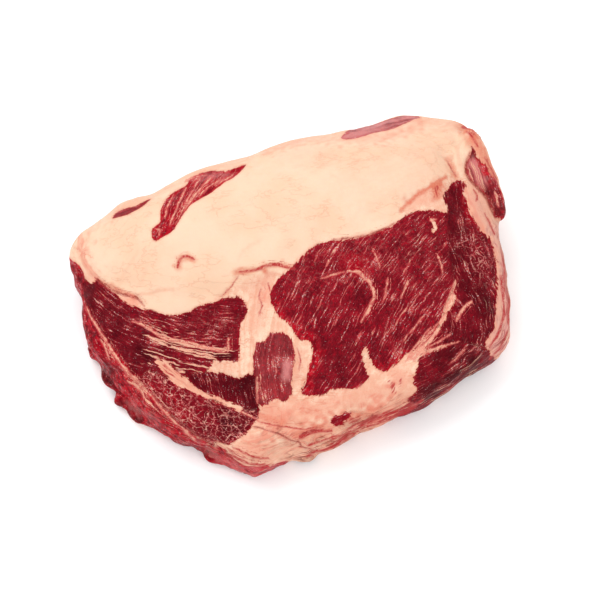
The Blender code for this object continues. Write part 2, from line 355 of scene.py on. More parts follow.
MUSCLES = (
    Muscle(
        "left",
        ((79, 285), (86, 280), (91, 284), (97, 279), (102, 284), (110, 290), (117, 295),
         (124, 302), (133, 306), (143, 309.5), (152, 310), (160, 313), (170, 315.5), (180, 314),
         (190, 311), (197, 307), (207, 304), (217, 301), (226, 298), (235, 296.5), (241, 298),
         (245, 304), (247, 310), (245, 317), (241, 324), (239.5, 332), (239, 350), (238, 361),
         (230, 361), (220, 361), (212, 365), (206, 371), (196, 373), (186, 375), (177, 378),
         (166, 380), (152, 382), (141, 384), (132, 374), (124, 364), (116, 354), (108, 343),
         (100, 332), (93, 321), (85, 308), (80, 296)),
        ((60, 250), (72, 272), (87, 291), (105, 309), (130, 325), (160, 337), (195, 346),
         (230, 350), (280, 352)),
        marble=0.4, dark_and_shade=0.3, swell=0.4,
    ),
    Muscle(
        "dark_and_shade_strip",
        ((184, 373.5), (192, 372), (203, 372), (214, 372), (226, 374), (237, 378), (246, 375),
         (254, 374.5), (259, 380), (258, 392), (258, 402), (259, 412), (248, 412), (238, 409),
         (230, 405), (221, 400), (211, 397), (202, 392), (194, 386), (188, 379)),
        ((196, 340), (212, 385), (226, 440)),
        marble=0.55, dark_and_shade=0.7, swell=-0.6,
    ),
    Muscle(
        "lower_left",
        ((136, 366), (144, 360), (152, 358), (160, 365), (168, 372), (176, 379), (186, 387),
         (197, 394), (208, 399), (220, 403), (232, 406), (244, 406), (257, 408), (259, 417),
         (253, 424), (249, 430), (243, 436), (236, 440), (230, 444), (222, 445), (212, 446),
         (202, 440), (192, 434), (183, 428), (172, 418), (162, 408), (152, 398), (144, 390),
         (136, 380)),
        ((120, 345), (158, 388), (195, 420), (260, 450)),
        marble=0.1, web=0.95, dark_and_shade=0.4, wet=0.15, swell=0.4,
    ),
    Muscle(
        "island",
        ((253, 362), (254, 351), (257, 343), (265, 341), (268, 335), (273, 333), (282, 333),
         (288, 335), (292, 341), (294, 350), (295, 358), (293, 368), (292, 378), (291, 384),
         (293, 389), (290, 397), (285, 401), (280, 401), (276, 398), (271, 402), (265, 405),
         (259, 405), (256, 397), (256, 387), (254, 374)),
        ((280, 420), (272, 380), (270, 350), (274, 310)),
        marble=0.8, dark_and_shade=0.05, veil=0.1, swell=0.5,
    ),
    Muscle(
        "main",
        ((270, 295), (272, 289), (278, 280), (285, 273), (292, 267), (300, 259), (308, 251),
         (316, 245), (326, 241.5), (340, 240.5), (352, 239), (364, 236.5), (376, 232.5),
         (388, 227.5), (397, 222.5), (404, 217), (412, 213), (422, 210.5), (434, 210.5),
         (443, 212.5), (452, 216), (458, 240), (462, 265), (464, 285), (456, 294), (450, 300),
         (445, 307), (442, 315), (438, 326), (431, 336), (424, 344), (415, 349.5), (407, 353),
         (399, 361), (392, 367), (385, 371), (378, 370), (372, 363), (368.5, 354),
         (366.5, 347), (362, 352), (363, 362), (366, 371), (368, 378), (364, 383), (357, 388),
         (346, 389), (336, 389), (329, 390.5), (324, 394.5), (312, 395.5), (304, 394.5),
         (302, 390), (306, 380), (309, 369), (312, 356), (312, 346), (308, 340.5), (301, 340),
         (296, 335), (291, 327), (285, 320.5), (279, 317), (275, 309), (271, 302)),
        ((268, 452), (300, 400), (330, 350), (356, 300), (378, 262), (410, 222), (450, 180)),
        marble=0.6, swell=0.7,
    ),
    Muscle(
        "right",
        ((457, 180.5), (464, 182), (465, 187), (463, 193), (466, 201), (469, 210), (472, 217),
         (476, 223), (481, 231), (487, 236), (491, 243), (494, 251), (496, 262), (497, 275),
         (497, 290), (496, 305), (494.5, 320), (493, 330), (487, 340), (484, 349), (478, 352),
         (468, 350), (456, 346), (444, 345.5), (434, 348.5), (425, 350.5), (427, 346),
         (433, 340), (439, 331), (443, 323), (446, 317), (447, 305), (446, 285), (440, 262),
         (438, 240), (441, 222), (447, 213), (447, 207), (443.5, 200), (443.5, 194), (448, 189),
         (451, 184)),
        ((440, 150), (452, 185), (456, 215), (463, 245), (476, 275), (489, 300), (494, 330),
         (488, 360)),
        marble=0.35, dark_and_shade=0.35, swell=0.3,
    ),
    Muscle(
        "corner",
        ((420, 356), (430, 352), (442, 348), (455, 343), (464, 338), (474, 336), (483, 341),
         (487, 349), (498, 362), (500, 385), (470, 410), (430, 425), (404, 428), (396, 416),
         (402, 404), (412, 396), (417, 390), (413, 383), (414, 376), (417, 369), (418, 362)),
        ((390, 402), (425, 382), (458, 362), (480, 340), (495, 315)),
        marble=0.6, dark_and_shade=0.35, swell=0.4,
    ),
    Muscle(
        "cap_window",
        ((160, 222), (161, 212), (165, 202), (170, 195), (178, 190), (186, 186), (190, 180),
         (200, 173.5), (212, 171), (226, 171), (237, 168), (246, 165), (241, 171), (234, 177),
         (224, 183), (213, 191), (200, 199.5), (191, 205), (184, 214), (178, 223), (172, 232),
         (163, 237), (157, 241), (153, 239), (152, 230), (156, 226)),
        ((138, 275), (160, 228), (178, 194), (200, 160), (215, 138)),
        marble=0.45, wet=0.6, swell=-0.5,
    ),
    Muscle(
        "cap_sliver",
        ((112.5, 218.5), (117, 213), (125, 209), (135, 206), (143, 202), (150, 199.5),
         (143, 206), (135, 211), (127, 215), (119, 217.5)),
        ((90, 226), (130, 211), (170, 192)),
        marble=0.5, dark_and_shade=0.35, veil=0.12, swell=-0.3,
    ),
    Muscle(
        "back_window",
        ((341, 138), (348, 131), (358, 124), (370, 118), (385, 112), (400, 110), (420, 117),
         (414, 120), (402, 125), (390, 130), (376, 132.5), (362, 137), (350, 139.5)),
        ((310, 150), (370, 129), (450, 108)),
        marble=0.6, veil=0.9, swell=-0.3,
    ),
    Muscle(
        "red_spot",
        ((331, 421), (335, 416), (340, 415), (346, 412), (351, 412), (350, 417), (345, 421),
         (341, 425), (335, 426)),
        ((310, 430), (370, 404)),
        marble=0.0, wet=0.3, dark_and_shade=0.4, swell=-0.6,
    ),
    Muscle(
        "wet_side",
        ((60, 258), (71, 260), (78, 264), (82, 270), (85, 278), (86, 288), (89, 302),
         (96, 317), (103, 329), (111, 341), (119, 351), (127, 362), (135, 372), (144, 382),
         (154, 393), (164, 404), (174, 415), (185, 426), (196, 436), (208, 443), (219, 449),
         (228, 452), (238, 459), (250, 466), (264, 468), (278, 463), (292, 466), (270, 480),
         (240, 486), (195, 468), (150, 448), (105, 416), (66, 350)),
        ((50, 225), (70, 262), (83, 300), (98, 334), (119, 366), (147, 397), (180, 430),
         (216, 455), (270, 480)),
        marble=0.1, wet=1.0, swell=0.3,
    ),
    Muscle(
        "flap",
        ((471, 147), (474, 150), (477, 157), (482, 162), (488, 168), (491, 175), (497, 182),
         (501, 190), (505, 200), (508, 212), (504, 224), (496, 218), (491, 207), (487, 198),
         (481, 190), (474, 183), (468, 175), (465.5, 168), (467, 160), (470, 153)),
        ((464, 118), (476, 155), (487, 186), (506, 240)),
        marble=0.2, veil=0.05, wet=0.5, swell=0.3,
    ),
)

SEAMS = (
    # Between the lean of the left and lower left.
    Seam(((158, 362), (168, 368), (177, 377), (188, 386), (200, 393)), 2.6),
    Seam(((200, 393), (214, 398), (228, 403), (240, 408)), 1.9),
    Seam(((163, 365), (172, 374), (182, 383)), 5.0),
    Seam(((216, 364), (225, 367), (236, 367)), 4.0),
    Seam(((226, 403), (233, 406), (240, 409)), 2.6),
    Seam(((240, 411), (250, 416), (259, 420)), 0.8),
    Seam(((257, 376), (257, 390), (258, 404)), 1.1),
    # The pale band along the grain of the left muscle.
    Seam(((130, 321), (140, 324), (151, 330), (164, 338.5), (180, 341), (198, 345), (212, 349),
          (228, 353)), 1.15),
    Seam(((228.5, 337), (228.5, 352)), 1.0),
    # The ring of fat in the main muscle, and its coarse streaks.
    Seam(((344, 271), (356, 272), (363, 277), (369, 282), (373, 290), (374, 298), (370, 306),
          (366, 314), (360, 323)), 1.45),
    Seam(((352, 271), (360, 273), (367, 281)), 1.6),
    Seam(((320, 279), (332, 275), (346, 271)), 0.7),
    Seam(((387, 281), (385.5, 292), (383, 301)), 1.0, True),
    Seam(((407, 282), (403, 292), (400, 300)), 1.1, True),
    Seam(((409, 262), (405, 274)), 0.7, True),
    Seam(((406, 309), (399, 318), (393, 330)), 0.8, True),
    Seam(((423, 317), (413, 329), (405, 338), (400, 347)), 0.8, True),
    Seam(((431, 220), (434, 225), (433.5, 231)), 1.9),
    Seam(((429, 221), (436, 219)), 1.2),
    Seam(((455.5, 280), (452, 292), (446, 306), (443, 314)), 1.8),
    Seam(((453, 297), (448, 308)), 3.2),
    Seam(((448, 311), (438, 324), (426, 338), (413, 353), (404, 363)), 0.9),
    Seam(((440, 331), (428, 341), (417, 351), (409, 361)), 0.7),
    Seam(((432, 326), (420, 340), (408, 355)), 0.6),
    Seam(((452, 333), (440, 341), (424, 350), (412, 362)), 0.7),
    Seam(((373, 250), (378, 262), (381, 275)), 0.6, True),
    Seam(((437, 256), (441, 266), (442, 277)), 0.8, True),
    Seam(((472, 301), (464, 308), (458, 317), (456, 322)), 1.7),
    Seam(((420, 353), (432, 349.5), (445, 345.5), (462, 341)), 1.4, True),
    Seam(((464, 350), (456, 358), (447, 366)), 0.7, True),
    Seam(((326, 266), (329, 260)), 1.2),
    # The bright line of fat along the top of the wet side.
    Seam(((86, 306), (93, 320), (101, 333), (109, 345), (117, 357)), 1.0),
    Seam(((110, 347), (117, 357), (121, 363)), 1.5),
    Seam(((121, 363), (130, 374), (141, 385), (152, 397)), 1.6),
    Seam(((148, 392), (160, 406), (171, 418), (180, 427)), 1.0),
    Seam(((178, 425), (188, 434), (200, 443), (216, 452)), 1.2),
    Seam(((128, 378), (138, 388), (146, 399)), 1.2),
    Seam(((100, 338), (106, 348), (111, 360)), 0.9),
    # The strands of the window in the cap.
    Seam(((165, 220), (168, 207), (174, 193)), 0.65),
    Seam(((169, 228), (174, 215), (180, 200), (187, 186)), 0.8),
    Seam(((175, 226), (185, 206), (193, 190), (201, 177)), 0.7),
    Seam(((184, 211), (193, 198), (203, 186), (213, 176)), 0.8),
    Seam(((197, 198), (207, 188), (221, 178)), 0.65),
    Seam(((214, 186), (225, 179), (234, 173)), 0.6),
    Seam(((183, 183), (196, 177), (210, 174)), 0.5),
    Seam(((155, 229), (160, 230), (159, 236)), 0.8),
    # The core of the flap.
    Seam(((494.5, 191), (497, 198), (499, 207)), 1.6),
)

THREADS = (
    # On the cap and the middle seam.
    Thread(((238, 272), (252, 270.5), (264, 268.5)), 1.0),
    Thread(((256, 270), (264, 266), (276, 264.5), (288, 267.5), (296, 269)), 1.6),
    Thread(((178, 269), (179, 262), (182, 257), (189, 256.5), (195, 260)), 1.3),
    Thread(((240, 274), (235, 281), (228, 290), (220, 297)), 0.5),
    Thread(((262, 286), (259, 296), (262, 306), (258, 318)), 0.5),
    Thread(((268, 282), (270, 292)), 0.6),
    Thread(((296, 346), (300, 358), (299, 372)), 0.5),
    # Along the front face.
    Thread(((255, 420), (267, 424), (287, 427), (305, 429), (318, 426)), 0.7),
    Thread(((298, 439), (308, 433.5), (320, 430.5), (333, 431)), 1.8),
    Thread(((306, 446), (322, 440), (340, 434)), 0.8),
    Thread(((231, 446), (243, 452), (256, 457), (270, 458)), 1.0),
    Thread(((226, 452), (240, 460), (254, 464), (268, 464)), 1.2),
    Thread(((316, 452), (335, 445), (350, 437), (368, 429)), 1.7),
    Thread(((330, 440), (350, 431), (372, 421), (396, 411), (414, 402)), 1.4),
    Thread(((345, 430), (362, 422), (380, 415), (394, 408)), 0.9),
    Thread(((366, 427), (388, 419), (406, 411), (424, 399)), 1.9),
    Thread(((306, 456), (314, 452), (318, 449)), 1.6),
    # Down the right edge.
    Thread(((497, 230), (503, 252), (504, 282), (502, 308)), 0.7),
    Thread(((503, 238), (508, 266), (510, 296), (508, 326)), 1.5),
    Thread(((500, 274), (502, 296), (503, 314), (498, 332), (488, 348)), 1.3),
    Thread(((507, 330), (500, 346), (488, 360)), 1.2),
    Thread(((473, 189), (477, 196), (475, 202)), 0.8),
    Thread(((484, 212), (490, 224), (494, 236)), 0.8),
    # By the flap.
    Thread(((461, 126), (468, 128), (476, 133)), 0.6),
    Thread(((466, 131), (473, 138), (478, 148)), 1.0),
    Thread(((484, 156), (491, 169), (497, 182)), 0.9),
)

# Lines and spots with soft edges that change one look: path, half width and strength.
STROKES: dict[Look, tuple[SoftLine, ...]] = {
    # Darker lean, and painted shade: under the cap's torn edge, in the recess by the right muscle, in
    # the pocket and along the border of the flap.
    Look.DARK: (
        (((88, 288), (108, 312), (130, 342), (148, 368)), 18, 0.3),
        (((138, 347), (156, 361), (180, 370)), 7, 0.4),
        (((210, 358), (238, 357)), 5, 0.6),
        (((252, 378), (250, 410)), 9, 0.6),
        (((226, 432), (245, 420)), 15, 0.6),
        (((335, 335), (345, 372)), 24, 0.35),
        (((405, 345), (430, 335)), 7, 0.5),
        (((450, 190), (455, 210), (458, 240), (462, 275), (476, 300)), 13, 0.3),
        (((480, 290), (488, 320), (480, 345)), 10, 0.4),
        (((450, 325), (452, 335)), 9, 0.5),
        (((435, 358), (450, 353), (470, 356)), 11, 0.5),
        (((422, 394), (452, 381), (482, 360)), 7, 0.9),
        (((357, 285), (362, 300)), 8, 0.35),
        (((106, 366), (111, 385)), 8, 1.1),
        (((120, 402), (122, 405)), 5, 1.0),
        (((130, 414), (142, 420)), 6, 0.8),
        (((88, 330), (92, 350)), 5, 0.6),
        (((73, 268), (80, 284)), 5, 0.5),
        (((472, 149), (473, 158)), 4, 1.2),
        (((487, 188), (491, 202), (499, 215)), 5, 0.8),
        (((150, 424), (185, 443), (212, 458)), 4, 0.5),
        (((488, 176), (497, 190), (504, 208)), 3, 0.6),
    ),
    Look.WET: (
        (((478, 156), (487, 174), (498, 188), (505, 208)), 4, 0.8),
        (((296, 333), (313, 342), (315, 358), (309, 378), (306, 390)), 6, 0.95),
        (((274, 304), (282, 318), (294, 331)), 5, 0.8),
        (((345, 262), (368, 268)), 10, 0.55),
        (((374, 364), (385, 369), (400, 357)), 5, 0.55),
        (((464, 198), (467, 212), (475, 222)), 5, 0.7),
        (((414, 380), (411, 394)), 5, 0.7),
        (((255, 385), (270, 392), (285, 390)), 8, 0.3),
        (((140, 376), (160, 396), (184, 420)), 9, 0.55),
    ),
    Look.VEIL: (
        (((288, 361), (286, 370), (288, 378)), 5, 0.8),
        (((471, 160), (476, 173), (483, 186)), 6, 1.0),
        (((196, 441), (210, 452), (222, 462)), 3, 0.6),
        (((126, 400), (140, 412), (160, 422)), 3, 0.45),
        (((160, 184), (200, 176), (228, 172)), 4, 0.4),
        (((224, 462), (244, 472), (262, 472), (284, 464)), 4, 0.55),
    ),
    Look.MARBLE: (
        (((150, 340), (200, 355)), 12, 0.2),
        (((145, 318), (200, 320), (230, 315)), 11, 0.15),
        (((146, 376), (160, 394), (180, 412)), 9, 0.5),
        (((335, 345), (345, 372)), 24, -0.55),
        (((312, 345), (312, 375), (308, 388)), 9, -0.9),
        (((370, 270), (372, 290)), 18, 0.15),
        (((385, 320), (430, 310)), 22, 0.2),
        (((452, 190), (456, 215)), 8, -0.3),
        (((235, 302), (242, 318), (237, 345)), 7, -0.6),
        (((428, 370), (450, 352)), 9, -0.4),
        (((440, 375), (465, 360), (478, 345)), 7, 0.5),
        (((106, 366), (111, 385)), 9, -0.8),
        (((392, 225), (420, 216), (448, 222)), 10, -0.4),
    ),
    Look.WEB: (
        (((190, 398), (225, 412), (250, 418)), 7, -0.45),
        (((464, 236), (478, 252), (487, 276)), 12, 0.75),
        (((300, 285), (340, 255), (400, 245), (430, 235)), 20, 0.12),
        (((400, 275), (430, 265), (430, 290)), 14, 0.12),
        (((206, 322), (228, 328)), 14, 0.3),
        (((144, 384), (160, 402), (182, 420)), 10, 0.5),
    ),
    Look.STRAND: (
        (((396, 414), (425, 402), (452, 389), (474, 374)), 5, 0.7),
        (((162, 228), (178, 204), (200, 185), (238, 171)), 12, 0.2),
        (((146, 332), (180, 344), (215, 350), (232, 351)), 7, 1.0),
        (((150, 350), (180, 359), (206, 364)), 9, 0.75),
        (((140, 318), (200, 326), (225, 330)), 9, 0.1),
        (((455, 372), (470, 360), (478, 345)), 6, 0.6),
        (((474, 280), (486, 300), (490, 325)), 6, 0.22),
        (((150, 396), (180, 430), (215, 455)), 9, 0.4),
        (((470, 165), (478, 178), (488, 194)), 7, 0.9),
    ),
    Look.BLUSH: (
        (((82, 236), (84, 252), (90, 268), (98, 278)), 6, 0.7),
        (((124, 300), (138, 305)), 5, 0.8),
        (((86, 228), (110, 212), (140, 199), (175, 181), (210, 166), (250, 155)), 7, 0.4),
        (((262, 150), (300, 140), (338, 138), (380, 138), (420, 124)), 6, 0.45),
        (((420, 120), (455, 124), (474, 138)), 9, 0.4),
        (((345, 185), (400, 172), (440, 150)), 32, 0.16),
        (((280, 156), (330, 150)), 14, 0.16),
        (((255, 282), (260, 300), (256, 325)), 10, 0.4),
        (((268, 276), (268, 300)), 6, 0.5),
        (((298, 350), (297, 384)), 6, 0.5),
        (((410, 205), (428, 196), (444, 190)), 9, 0.5),
        (((472, 190), (480, 215), (492, 238), (500, 262), (501, 295), (499, 322), (490, 348)), 11, 0.8),
        (((395, 372), (402, 385)), 11, 0.8),
        (((262, 416), (285, 428), (320, 434), (360, 420), (410, 402)), 13, 0.9),
        (((245, 446), (270, 452), (300, 452)), 12, 0.9),
        (((270, 408), (300, 412), (330, 404), (360, 396), (390, 390)), 10, 0.6),
        (((420, 398), (398, 408), (370, 420)), 8, 0.8),
        (((158, 362), (174, 374), (196, 391), (226, 403)), 4, 0.7),
    ),
    Look.BLOOD: (
        (((504, 235), (509, 270), (512, 300), (509, 332), (498, 353), (485, 366)), 9, 0.7),
        (((408, 411), (390, 420), (350, 437), (310, 452)), 7, 0.75),
        (((224, 449), (236, 457), (250, 463), (266, 465), (282, 459)), 4, 0.6),
        (((229, 447), (238, 453), (248, 457)), 2, 0.7),
        (((290, 462), (330, 449), (365, 434), (400, 420)), 5, 0.35),
        (((350, 420), (364, 421), (378, 416)), 4, 0.6),
        (((304, 455), (310, 452)), 3, 0.7),
        (((300, 435), (311, 431), (322, 430)), 3, 0.5),
        (((388, 380), (393, 386), (394, 393)), 3, 1.0),
        (((401, 378), (399, 388)), 2.4, 0.8),
        (((340, 425), (372, 415), (406, 402)), 4, 0.4),
        (((262, 424), (284, 431), (300, 440)), 3, 0.5),
        (((160, 363), (175, 376), (192, 389)), 5, 0.5),
        (((84, 244), (85, 254), (88, 266)), 2.2, 0.45),
        (((480, 205), (487, 225)), 4, 0.2),
        (((437, 186), (435, 198)), 2, 1.0),
        (((461, 127), (470, 129), (475, 135)), 2.2, 0.8),
        (((478, 148), (485, 160), (494, 175)), 3, 0.5),
        (((164, 366), (170, 373), (176, 376)), 2, 0.5),
    ),
    Look.RUST_AND_SHADOW: (
        (((234, 272), (252, 271), (274, 265), (290, 267)), 3.2, 0.9),
        (((178, 269), (181, 258), (194, 260)), 3.4, 0.9),
        (((263, 271), (281, 275)), 2.4, 0.5),
        (((400, 212), (412, 199), (425, 190.5), (437, 182), (446, 177)), 2, 1.2),
        (((438, 182), (436, 199)), 4.5, 1.1),
        (((460, 126), (470, 129), (476, 136)), 5, 1.0),
        (((470, 138), (480, 150), (489, 166), (497, 180)), 6, 0.95),
        (((447, 158), (452, 168), (457, 178)), 3, 0.9),
        (((350, 412), (362, 414), (380, 410)), 5, 0.6),
        (((298, 404), (312, 411), (328, 417)), 7, 0.35),
        (((296, 437), (312, 431), (330, 431)), 5, 0.6),
        (((256, 414), (268, 418), (284, 424)), 3.5, 0.7),
        (((130, 294), (150, 293.5), (160, 290), (174, 289.5)), 2, 0.35),
        (((237, 274), (232, 284), (222, 295), (214, 300)), 2, 0.3),
        # A painted shadow line under the cap's torn edge.
        (((96, 279), (110, 286), (124, 292), (136, 298)), 2.5, 0.8),
        (((215, 364), (234, 368)), 6, 0.4),
        (((163, 366), (182, 383)), 6, 0.3),
        (((118, 289), (126, 270), (138, 252)), 2, 0.14),
        (((140, 285), (147, 265)), 2, 0.12),
        (((238, 262), (244, 250), (262, 240)), 2, 0.12),
    ),
    Look.FILM: (
        (((497, 228), (503, 252), (506, 290), (504, 322), (494, 350)), 9, 0.95),
        (((474, 194), (484, 214), (492, 232)), 6, 0.35),
        (((224, 462), (244, 472), (262, 472), (284, 464)), 5, 0.6),
    ),
    Look.FOLD: (
        (((246, 430), (280, 440), (320, 434), (370, 416), (420, 400)), 16, 0.65),
        (((240, 455), (270, 462), (300, 458)), 10, 0.3),
        (((300, 456), (345, 440), (390, 419), (430, 402), (470, 378)), 8, 1.0),
        (((498, 225), (504, 260), (506, 300), (502, 330), (490, 355)), 9, 0.9),
        (((470, 185), (482, 215), (492, 238)), 10, 0.5),
        (((455, 150), (470, 160)), 12, 0.4),
        (((78, 240), (84, 262), (98, 280)), 9, 0.4),
        (((158, 364), (190, 386), (215, 398)), 6, 0.4),
    ),
}

# Grooves with lines of painted shade: under the cap's edges, along the flap, down the right edge and in
# the folds of the front.
CREASES = (
    Crease(((252, 426), (266, 429.5), (280, 434.5), (292, 441), (302, 447), (312, 450)), 0.9,
           1.0),
    Crease(((299, 436), (310, 432), (322, 430)), 0.7, 0.5),
    Crease(((352, 424), (374, 417), (396, 409), (418, 403)), 0.9, 0.7),
    Crease(((326, 448), (350, 438), (378, 425)), 0.6, 0.6),
    Crease(((374, 429), (398, 418), (420, 405)), 0.6, 0.6),
    Crease(((500, 248), (505, 272), (508, 300), (507, 325)), 0.8, 0.5),
    Crease(((447, 160), (452, 170), (457, 178)), 0.4, 0.8),
    Crease(((470, 150), (466, 164), (468, 176), (476, 186), (486, 198), (492, 210), (497, 219)),
           1.3, 1.2),
    Crease(((93, 277), (103, 284), (112, 290), (121, 294), (131, 296), (138, 299), (145, 307)),
           1.5, 1.0),
    Crease(((330, 239.5), (350, 238), (366, 235), (382, 229.5), (396, 222)), 0.9, 0.6),
    Crease(((226, 456), (240, 463), (256, 466)), 1.0, 0.5),
)

CAP = ((50, 300), (72, 268), (80, 271), (90, 276), (97, 278), (104, 284), (112, 289), (120, 291),
       (128, 294), (138, 299), (145, 307), (152, 311), (160, 314), (170, 316), (180, 315),
       (190, 311), (200, 306), (215, 301), (228, 294), (242, 283), (258, 276), (274, 271),
       (288, 267), (300, 258), (316, 244), (330, 239), (350, 237), (376, 231), (397, 221),
       (404, 208), (414, 196), (427, 189), (438, 181), (450, 178), (460, 180), (466, 165),
       (471, 148), (476, 130), (500, 90), (400, 70), (200, 110), (50, 180))

# The lines that the fibres of the fat run along: the cap, the middle seam and the front edge.
FAT_LINES = (
    ((40, 262), (90, 250), (180, 215), (300, 190), (460, 120), (520, 90)),
    ((80, 225), (82, 250), (92, 275), (112, 290), (145, 307)),
    ((262, 250), (250, 300), (246, 340), (246, 372)),
    ((200, 470), (256, 474), (300, 459), (350, 437), (400, 413), (450, 389), (484, 366),
     (503, 345), (511, 315), (505, 270), (500, 235), (478, 185), (470, 150)),
    ((150, 356), (180, 380), (215, 399), (250, 414)),
    ((372, 400), (398, 370), (425, 345), (450, 305)),
)


@dataclass
class Anatomy:
    """Works out, for every point of the surface, which tissue it is and how it looks."""

    view: PhotoView
    points: np.ndarray
    normals: np.ndarray
    reach: float = 22.0  # px, how far around an outline it is measured
    thin: float = 1.9  # px, narrower seams are told by signed distance
    near: tuple[float, float] = (3.0, 4.4)  # px, where a thin line's width fades away
    back_fat: float = 20.0  # mm, how low the fat cap reaches on the back
    shoulder: float = 55.0  # mm, the height where the steep sides begin
    squeeze: float = 0.6  # how much of a side's height the photograph leaves out
    wander: float = 7.0  # px, how far borders stray on the steep sides
    stray_size: tuple[float, float, float] = (15, 15, 9)  # mm, how wide they stray
    level: tuple[float, float] = (0.15, 0.6)  # how level the steep sides and the top are
    edge_on: tuple[float, float] = (0.05, 0.35)  # how far thin lines face the camera
    unseen: tuple[float, float] = (-0.12, 0.12)  # how far what the photograph shows faces it
    backward: tuple[float, float] = (0.0, 0.35)  # how far the back faces backward
    downward: tuple[float, float] = (0.3, 0.7)  # how far the underside faces down
    apart: tuple[float, float] = (100.0, 37.0)  # mm along and across, so that no two grains match
    back_grain: tuple[float, float] = (0.94, 0.34)  # the way that the grain of the back runs
    fields: dict[str, np.ndarray] = field(default_factory=dict)

    def __post_init__(self) -> None:
        """Finds the pixel of every point and how much the photograph tells of it."""
        self.millimetres = self.points / MM
        self.height = self.millimetres[:, 2]
        self.steep = 1 - ease(*self.level, self.normals[:, 2])
        self.straight = self.view.pixels(self.points)
        stray = np.stack([self.rough(self.stray_size, seed) for seed in (3.7, 8.2)], -1)
        self.pixels = self.straight + self.wander * self.steep[:, None] * stray
        facing = self.view.facing(self.points, self.normals)
        behind = (1 - ease(*self.unseen, facing)) * ease(*self.backward, self.normals[:, 1])
        self.under = ease(*self.downward, -self.normals[:, 2])
        self.hidden = np.maximum(behind, self.under)
        self.grazing = 1 - ease(*self.edge_on, facing)
        self.drop = self.squeeze * self.steep * np.maximum(0, self.shoulder - self.height)
        self.flesh = np.full(len(self.points), -self.reach)
        for look in Look:
            self.fields[look.value] = np.zeros(len(self.points))

    def rough(self, size: Sequence[float], seed: float) -> np.ndarray:
        """Smooth random heights over the roast, with bumps of a size in mm."""
        return rough_field(self.millimetres, size, seed)

    def work_out(self) -> dict[str, np.ndarray]:
        """Fills in all the fields.

        Returns:
            One number for each point, under the name of its attribute.
        """
        self.lay_muscles()
        self.cut_seams()
        thin = [(s.path, s.half_width, s.fade) for s in SEAMS if s.half_width < self.thin]
        creases = [(c.path, c.half_width, False) for c in CREASES]
        threads = [(t.path, t.half_width, False) for t in THREADS]
        self.lay_thin_lines("vein", thin, self.pixels)
        self.lay_thin_lines("crease", creases, self.pixels)
        self.lay_thin_lines("thread", threads, self.straight)
        self.spread_strokes()
        self.lay_fat_fibres()
        self.fields["cap"] = ease(-4, 5, Path(CAP, closed=True).depth(self.pixels, self.reach))
        self.fill_hidden()
        self.fields["lean"] = self.flesh * PIXEL_MM
        return self.fields

    def lay_muscles(self) -> None:
        """Marks the lean, its grain and each muscle's own looks."""
        count = len(self.points)
        along, across, swell = np.zeros(count), np.zeros(count), np.zeros(count)
        ahead, aside = self.apart
        for number, muscle in enumerate(MUSCLES):
            depth = Path(muscle.outline, closed=True).depth(self.pixels, self.reach)
            mine = (depth > self.flesh) & (depth > -self.reach)
            self.flesh = np.where(mine, depth, self.flesh)
            side, run = Path(muscle.grain).measure(self.straight[mine])
            along[mine] = run * PIXEL_MM + ahead * number
            across[mine] = side * PIXEL_MM + self.drop[mine] + aside * number
            swell[mine] = muscle.swell * ease(0, 14, depth[mine])
            for look in (Look.MARBLE, Look.WEB, Look.DARK, Look.WET, Look.VEIL):
                self.fields[look.value][mine] = getattr(muscle, look.value)
            LOG.info("lean %s: %d points", muscle.name, np.count_nonzero(mine))
        self.fields.update(along=along, across=across, swell=swell)

    def cut_seams(self) -> None:
        """Takes the wide seams of fat out of the lean."""
        for seam in SEAMS:
            if seam.half_width < self.thin:
                continue
            path = Path(seam.path)
            chosen = path.within(self.pixels, self.reach)
            distance = np.abs(path.measure(self.pixels[chosen])[0]) - seam.half_width
            self.flesh[chosen] = np.minimum(self.flesh[chosen], distance)

    def lay_thin_lines(
        self, name: str, lines: Sequence[tuple[Pixels, float, bool]], places: np.ndarray
    ) -> None:
        """Stores the signed distance to the nearest thin line, and that line's width.

        Args:
            name: the start of the two attributes' names.
            lines: the path, half width and fading of each line.
            places: the pixel of each point.
        """
        low, high = self.near
        side = np.full(len(self.points), high)
        width = np.zeros(len(self.points))
        for points, half_width, fade in lines:
            path = Path(points)
            chosen = np.flatnonzero(path.within(places, high))
            across, along = path.measure(places[chosen])
            closer = np.abs(across) < np.abs(side[chosen])
            chosen, across, along = chosen[closer], across[closer], along[closer]
            if not len(chosen):
                continue
            share = np.clip(along / path.length(), 0, 1)
            left = 1 - share if fade else 1 - np.abs(2 * share - 1) ** 4
            side[chosen] = across
            width[chosen] = half_width * left**0.5
            width[chosen] *= 1 - ease(low, high, np.abs(across))
        width *= 1 - self.grazing
        self.fields[name + "_side"] = side * PIXEL_MM
        self.fields[name + "_width"] = width * PIXEL_MM

    def spread_strokes(self) -> None:
        """Adds the soft strokes to the looks, with ragged edges and faded ends."""
        ragged = 1 + 0.9 * self.rough((3.5, 3.5, 3.5), 2.3)
        patchy = 0.45 + 1.3 * self.rough((13, 13, 9), 8.9)
        whole = 1 - 0.6 * self.steep * np.clip(patchy, 0, 1)
        rows = [(look, *line) for look, lines in STROKES.items() for line in lines]
        for look, points, reach, strength in rows:
            path = Path(points)
            chosen = path.within(self.pixels, 2 * reach)
            across, along = path.measure(self.pixels[chosen])
            distance = np.abs(across) / reach * ragged[chosen]
            amount = strength * (1 - ease(0.2, 1.6, distance))
            left = path.length() - along
            amount *= ease(-1.6 * reach, 0.8 * reach, np.minimum(along, left))
            self.fields[look.value][chosen] += amount * whole[chosen]

